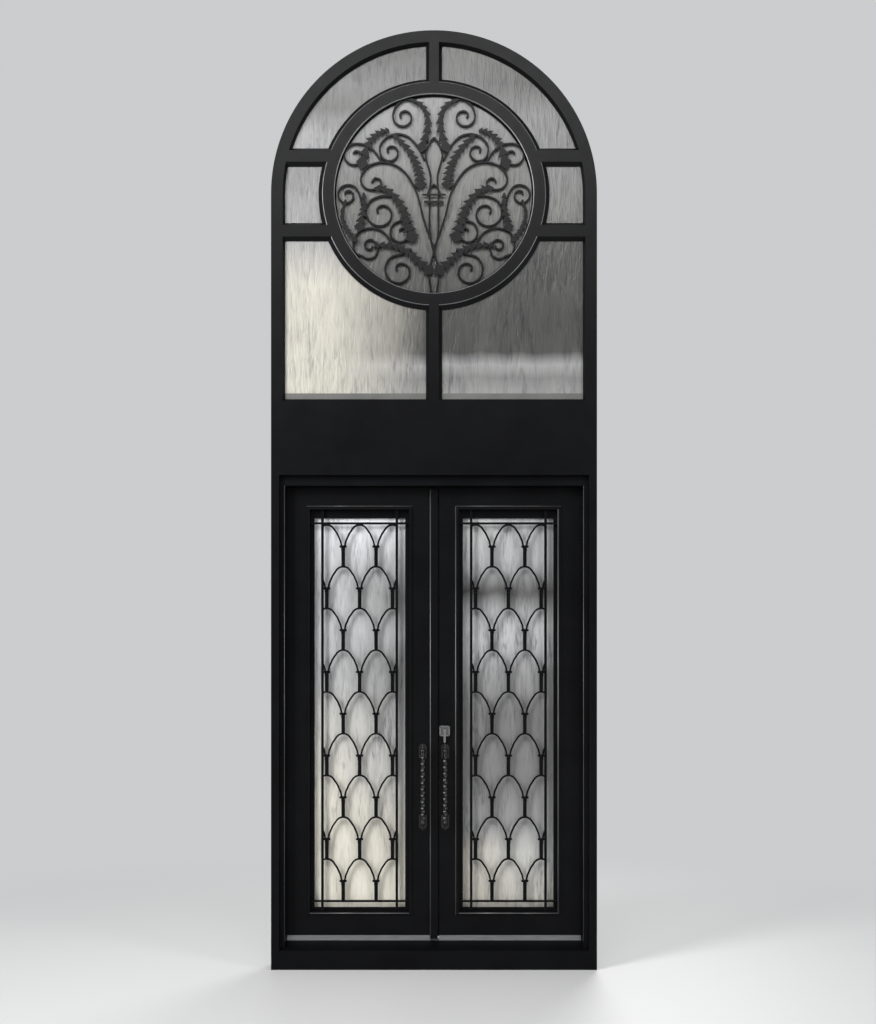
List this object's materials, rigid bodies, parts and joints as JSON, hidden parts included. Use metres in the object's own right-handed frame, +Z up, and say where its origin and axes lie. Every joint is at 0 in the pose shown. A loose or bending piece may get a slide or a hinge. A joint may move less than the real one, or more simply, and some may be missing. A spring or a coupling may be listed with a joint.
{
  "type": "french doors",
  "caption": "Pair of inswing wrought-iron french doors with fish-scale grilles over rain glass, in a hollow steel frame under an arched transom with a scrollwork ring.",
  "frame": {"origin": "middle of the threshold's underside, at mid depth of the frame", "axes": "+X to the right and +Y inwards, seen from outside, +Z up"},
  "size_m": [1.63, 0.217, 4.6988],
  "materials": {
    "iron": "satin black paint",
    "foliage": "hand-forged, satin black paint",
    "glass": "rain texture",
    "nickel": "satin nickel",
    "rubber": "matt",
    "sweep": "mill finish"
  },
  "bodies": {
    "frame": {"left_jamb": "iron", "right_jamb": "iron", "door_head": "iron", "threshold": "iron", "mull_box": "iron", "transom_left_stile": "iron", "transom_right_stile": "iron", "transom_arch": "iron", "transom_ring": "iron", "top_bar": "iron", "bottom_bar": "iron", "side_bars": "iron", "round_pane": "glass", "top_panes": "glass", "side_panes": "glass", "low_panes": "glass", "transom_beads": "iron", "scroll_bars": "iron", "scroll_leaves": "foliage", "scroll_collar": "iron", "hinge_frame_halves": "iron", "hinge_pins": "nickel", "frame_seals": "rubber", "bolt_keepers": "nickel"},
    "left_leaf": {"left_hinge_stile": "iron", "left_meeting_stile": "iron", "left_top_rail": "iron", "left_bottom_rail": "iron", "left_moulding": "iron", "left_glass": "glass", "left_bead": "iron", "left_grille": "iron", "left_collars": "iron", "left_pulls": "iron", "left_hinge_halves": "iron", "left_sweep": "sweep", "astragal": "iron", "meeting_seal": "rubber", "strike_plate": "nickel", "bolt_plates": "nickel"},
    "right_leaf": {"right_hinge_stile": "iron", "right_meeting_stile": "iron", "right_top_rail": "iron", "right_bottom_rail": "iron", "right_moulding": "iron", "right_glass": "glass", "right_bead": "iron", "right_grille": "iron", "right_collars": "iron", "right_pulls": "iron", "right_hinge_halves": "iron", "right_sweep": "sweep", "lock_case": "nickel", "lock_rosettes": "nickel"},
    "top_bolt": {"top_flush_bolt": "nickel"},
    "bottom_bolt": {"bottom_flush_bolt": "nickel"},
    "lock": {"turn_lever": "nickel", "lock_spindle": "nickel", "thumb_turn": "nickel"},
    "deadbolt": {"deadbolt": "nickel"}
  },
  "joints": [
    {"name": "left_leaf_swing", "type": "hinge", "parent": "frame", "child": "left_leaf", "pos_m": [-0.772, 0.086, 1.3], "axis": [0, 0, 1], "range_deg": [0, 105]},
    {"name": "right_leaf_swing", "type": "hinge", "parent": "frame", "child": "right_leaf", "pos_m": [0.772, 0.086, 1.3], "axis": [0, 0, -1], "range_deg": [0, 105]},
    {"name": "lock_turn", "type": "hinge", "parent": "right_leaf", "child": "lock", "pos_m": [0.054, 0.045, 1.193], "axis": [0, -1, 0], "range_deg": [0, 90]},
    {"name": "deadbolt_slide", "type": "slide", "parent": "right_leaf", "child": "deadbolt", "axis": [-1, 0, 0], "range_m": [0, 0.025]},
    {"name": "top_bolt_slide", "type": "slide", "parent": "left_leaf", "child": "top_bolt", "axis": [0, 0, 1], "range_m": [0, 0.022]},
    {"name": "bottom_bolt_slide", "type": "slide", "parent": "left_leaf", "child": "bottom_bolt", "axis": [0, 0, -1], "range_m": [0, 0.022]}
  ],
  "couplings": [
    {"joint": "deadbolt_slide", "follows": "lock_turn", "m_per_rad": 0.0159}
  ]
}
